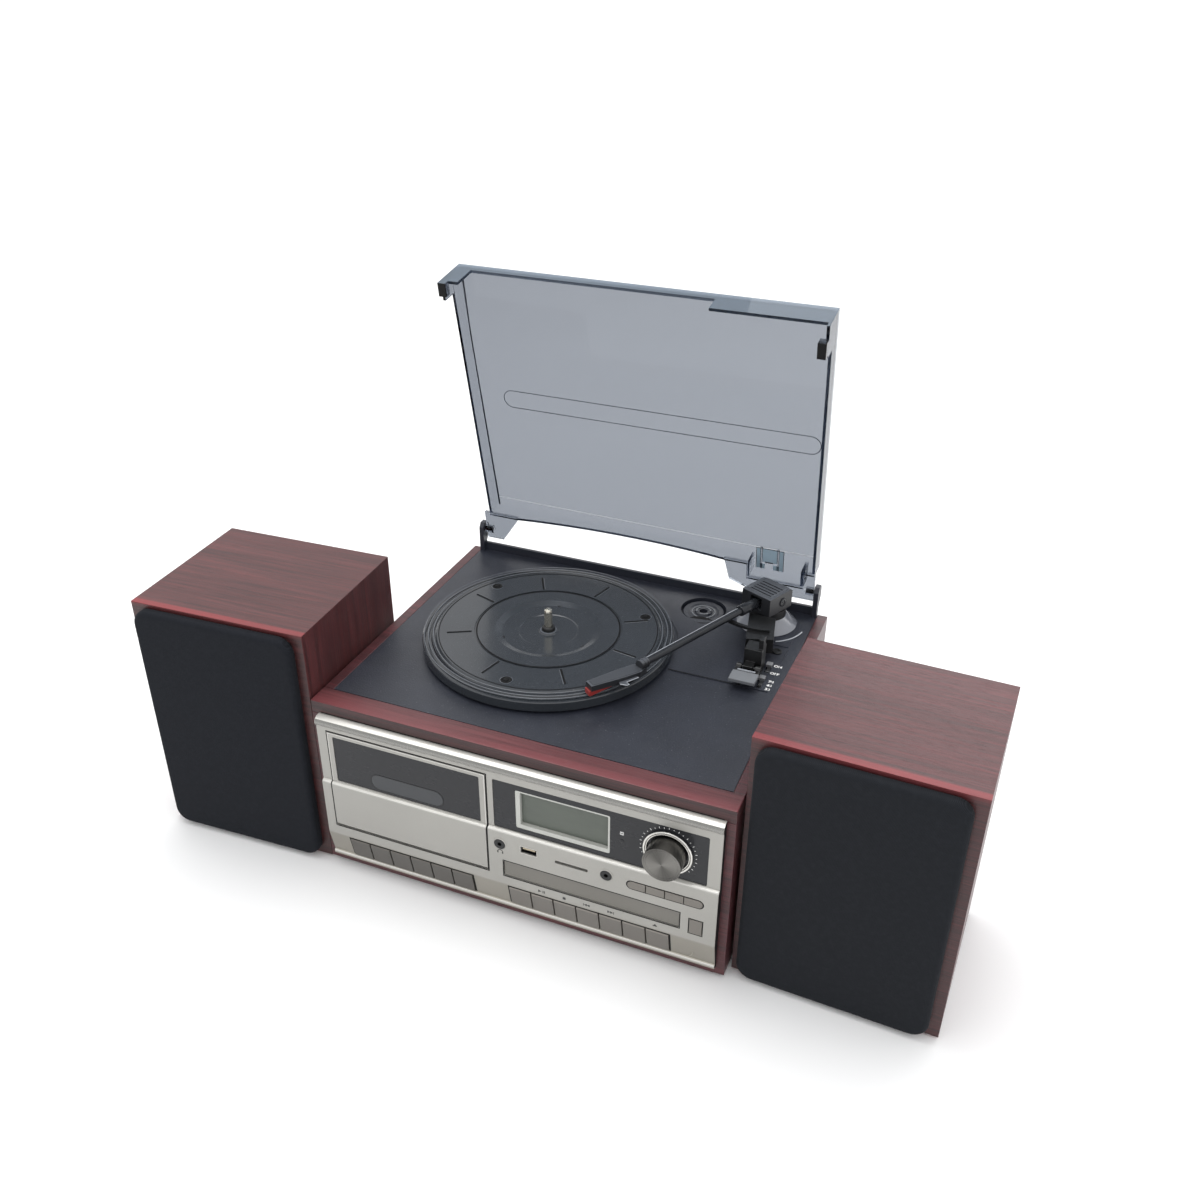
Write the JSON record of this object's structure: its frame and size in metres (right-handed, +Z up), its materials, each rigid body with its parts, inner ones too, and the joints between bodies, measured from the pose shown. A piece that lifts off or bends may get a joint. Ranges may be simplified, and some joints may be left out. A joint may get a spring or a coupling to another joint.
{
  "type": "stereo music centre",
  "caption": "Wood-cased stereo with a turntable under a hinged smoked lid, a cassette deck, a disc drawer and a tuner in its silver front, and two separate speakers with cloth grilles.",
  "frame": {"origin": "centre of the whole set's footprint on the surface that it stands on", "axes": "+X to the right along the front, +Y from the front to the back, +Z up"},
  "size_m": [0.6899, 0.3237, 0.4555],
  "materials": {
    "cherry_laminate": "satin woodgrain laminate",
    "dark_plastic": "fine matt texture",
    "grey_plastic": "matt",
    "silver_plastic": "satin silver lacquer",
    "button_plastic": "satin warm grey lacquer",
    "smoked_window": "dark, glossy",
    "display": "grey-green with a pale bezel",
    "smoked_lid": "clear smoked plastic",
    "stylus_red": "glossy",
    "spun_metal": "spun, with a bright ring",
    "bright_steel": "bright",
    "brass": "turned",
    "rubber": "matt",
    "chassis_plastic": "matt",
    "circuit_board": "lacquered board",
    "grille_cloth": "stretched black cloth"
  },
  "bodies": {
    "cabinet": {"side_board_left": "cherry_laminate", "side_board_right": "cherry_laminate", "front_rail": "cherry_laminate", "bottom_board": "cherry_laminate", "rear_panel": "dark_plastic", "unit_feet": "rubber", "deck_plate": "dark_plastic", "drive_belt": "rubber", "deck_motor": "bright_steel", "arm_base": "dark_plastic", "arm_rest": "dark_plastic", "fascia": "silver_plastic", "display_window": "smoked_window", "display_module": "display", "front_board": "circuit_board", "front_sockets": "dark_plastic", "cd_chassis": "chassis_plastic", "cassette_chassis": "chassis_plastic", "main_board": "circuit_board", "left_speaker_box": "cherry_laminate", "left_driver": "dark_plastic", "left_grille": "grille_cloth", "right_speaker_box": "cherry_laminate", "right_driver": "dark_plastic", "right_grille": "grille_cloth"},
    "platter": {"platter": "dark_plastic", "spindle": "bright_steel"},
    "pulley": {"motor_pulley": "brass"},
    "arm_head": {"arm_block": "dark_plastic"},
    "arm": {"arm_tube": "dark_plastic", "headshell": "dark_plastic", "stylus": "stylus_red"},
    "cue_lever": {"cue_lever": "grey_plastic"},
    "lift": {"lift_platform": "dark_plastic"},
    "lid": {"lid": "smoked_lid"},
    "speed_switch": {"speed_switch": "grey_plastic"},
    "autostop_switch": {"autostop_switch": "grey_plastic"},
    "adapter": {"adapter_45": "dark_plastic"},
    "volume_knob": {"volume_knob": "spun_metal"},
    "cassette_door": {"cassette_door": "silver_plastic", "cassette_window": "smoked_window"},
    "cassette_key_1": {"cassette_key_1": "button_plastic"},
    "cassette_key_2": {"cassette_key_2": "button_plastic"},
    "cassette_key_3": {"cassette_key_3": "button_plastic"},
    "cassette_key_4": {"cassette_key_4": "button_plastic"},
    "cassette_key_5": {"cassette_key_5": "button_plastic"},
    "cassette_key_6": {"cassette_key_6": "button_plastic"},
    "function_button_1": {"function_button_1": "button_plastic"},
    "function_button_2": {"function_button_2": "button_plastic"},
    "function_button_3": {"function_button_3": "button_plastic"},
    "function_button_4": {"function_button_4": "button_plastic"},
    "function_button_5": {"function_button_5": "button_plastic"},
    "function_button_6": {"function_button_6": "button_plastic"},
    "function_button_7": {"function_button_7": "button_plastic"},
    "mode_button_1": {"mode_button_1": "button_plastic"},
    "mode_button_2": {"mode_button_2": "button_plastic"},
    "mode_button_3": {"mode_button_3": "button_plastic"},
    "mode_button_4": {"mode_button_4": "button_plastic"},
    "power_button": {"power_button": "button_plastic"},
    "cd_tray": {"cd_tray": "button_plastic"}
  },
  "joints": [
    {"name": "lid_hinge", "type": "hinge", "parent": "cabinet", "child": "lid", "pos_m": [0, 0.1455, 0.1916], "axis": [1, 0, 0], "range_deg": [-6, 80.4]},
    {"name": "platter_spin", "type": "hinge", "parent": "cabinet", "child": "platter", "pos_m": [-0.0375, 0.0135, 0.17], "axis": [0, 0, 1], "continuous": true},
    {"name": "pulley_spin", "type": "hinge", "parent": "cabinet", "child": "pulley", "pos_m": [-0.097, -0.046, 0.17], "axis": [0, 0, 1], "continuous": true},
    {"name": "arm_swing", "type": "hinge", "parent": "cabinet", "child": "arm_head", "pos_m": [0.129, 0.1165, 0.19], "axis": [0, 0, 1], "range_deg": [-19.5, 31.3]},
    {"name": "arm_lift", "type": "hinge", "parent": "arm_head", "child": "arm", "pos_m": [0.129, 0.1165, 0.1955], "axis": [-0.9114, 0.4115, 0], "range_deg": [0, 2.01]},
    {"name": "cue_lever_turn", "type": "hinge", "parent": "cabinet", "child": "cue_lever", "pos_m": [0.1374, 0.0266, 0.177], "axis": [-1, 0, 0], "range_deg": [0, 25.01]},
    {"name": "lift_rise", "type": "slide", "parent": "cabinet", "child": "lift", "axis": [0, 0, 1], "range_m": [0, 0.0018]},
    {"name": "speed_slide", "type": "slide", "parent": "cabinet", "child": "speed_switch", "axis": [0, 1, 0], "range_m": [-0.011, 0.001]},
    {"name": "autostop_slide", "type": "slide", "parent": "cabinet", "child": "autostop_switch", "axis": [0, 1, 0], "range_m": [-0.0085, 0.0015]},
    {"name": "adapter_lift_out", "type": "slide", "parent": "cabinet", "child": "adapter", "axis": [0, 0, 1], "range_m": [0, 0.016]},
    {"name": "volume_turn", "type": "hinge", "parent": "cabinet", "child": "volume_knob", "pos_m": [0.1295, -0.1545, 0.1196], "axis": [0, -1, 0], "continuous": true},
    {"name": "door_tilt", "type": "hinge", "parent": "cabinet", "child": "cassette_door", "pos_m": [-0.0905, -0.1475, 0.053], "axis": [1, 0, 0], "range_deg": [0, 28]},
    {"name": "drawer_slide", "type": "slide", "parent": "cabinet", "child": "cd_tray", "axis": [0, -1, 0], "range_m": [0, 0.13]},
    {"name": "cassette_key_1_press", "type": "slide", "parent": "cabinet", "child": "cassette_key_1", "axis": [0, 1, 0], "range_m": [0, 0.003], "stiffness_N_per_m": 400},
    {"name": "cassette_key_2_press", "type": "slide", "parent": "cabinet", "child": "cassette_key_2", "axis": [0, 1, 0], "range_m": [0, 0.003], "stiffness_N_per_m": 400},
    {"name": "cassette_key_3_press", "type": "slide", "parent": "cabinet", "child": "cassette_key_3", "axis": [0, 1, 0], "range_m": [0, 0.003], "stiffness_N_per_m": 400},
    {"name": "cassette_key_4_press", "type": "slide", "parent": "cabinet", "child": "cassette_key_4", "axis": [0, 1, 0], "range_m": [0, 0.003], "stiffness_N_per_m": 400},
    {"name": "cassette_key_5_press", "type": "slide", "parent": "cabinet", "child": "cassette_key_5", "axis": [0, 1, 0], "range_m": [0, 0.003], "stiffness_N_per_m": 400},
    {"name": "cassette_key_6_press", "type": "slide", "parent": "cabinet", "child": "cassette_key_6", "axis": [0, 1, 0], "range_m": [0, 0.003], "stiffness_N_per_m": 400},
    {"name": "function_button_1_press", "type": "slide", "parent": "cabinet", "child": "function_button_1", "axis": [0, 1, 0], "range_m": [0, 0.0015], "stiffness_N_per_m": 300},
    {"name": "function_button_2_press", "type": "slide", "parent": "cabinet", "child": "function_button_2", "axis": [0, 1, 0], "range_m": [0, 0.0015], "stiffness_N_per_m": 300},
    {"name": "function_button_3_press", "type": "slide", "parent": "cabinet", "child": "function_button_3", "axis": [0, 1, 0], "range_m": [0, 0.0015], "stiffness_N_per_m": 300},
    {"name": "function_button_4_press", "type": "slide", "parent": "cabinet", "child": "function_button_4", "axis": [0, 1, 0], "range_m": [0, 0.0015], "stiffness_N_per_m": 300},
    {"name": "function_button_5_press", "type": "slide", "parent": "cabinet", "child": "function_button_5", "axis": [0, 1, 0], "range_m": [0, 0.0015], "stiffness_N_per_m": 300},
    {"name": "function_button_6_press", "type": "slide", "parent": "cabinet", "child": "function_button_6", "axis": [0, 1, 0], "range_m": [0, 0.0015], "stiffness_N_per_m": 300},
    {"name": "function_button_7_press", "type": "slide", "parent": "cabinet", "child": "function_button_7", "axis": [0, 1, 0], "range_m": [0, 0.0015], "stiffness_N_per_m": 300},
    {"name": "mode_button_1_press", "type": "slide", "parent": "cabinet", "child": "mode_button_1", "axis": [0, 1, 0], "range_m": [0, 0.001], "stiffness_N_per_m": 300},
    {"name": "mode_button_2_press", "type": "slide", "parent": "cabinet", "child": "mode_button_2", "axis": [0, 1, 0], "range_m": [0, 0.001], "stiffness_N_per_m": 300},
    {"name": "mode_button_3_press", "type": "slide", "parent": "cabinet", "child": "mode_button_3", "axis": [0, 1, 0], "range_m": [0, 0.001], "stiffness_N_per_m": 300},
    {"name": "mode_button_4_press", "type": "slide", "parent": "cabinet", "child": "mode_button_4", "axis": [0, 1, 0], "range_m": [0, 0.001], "stiffness_N_per_m": 300},
    {"name": "power_button_press", "type": "slide", "parent": "cabinet", "child": "power_button", "axis": [0, 1, 0], "range_m": [0, 0.0015], "stiffness_N_per_m": 300}
  ],
  "couplings": [
    {"joint": "pulley_spin", "follows": "platter_spin", "ratio": 11.7},
    {"joint": "cue_lever_turn", "follows": "lift_rise", "rad_per_m": 242.42},
    {"joint": "arm_lift", "follows": "lift_rise", "rad_per_m": 19.394}
  ]
}
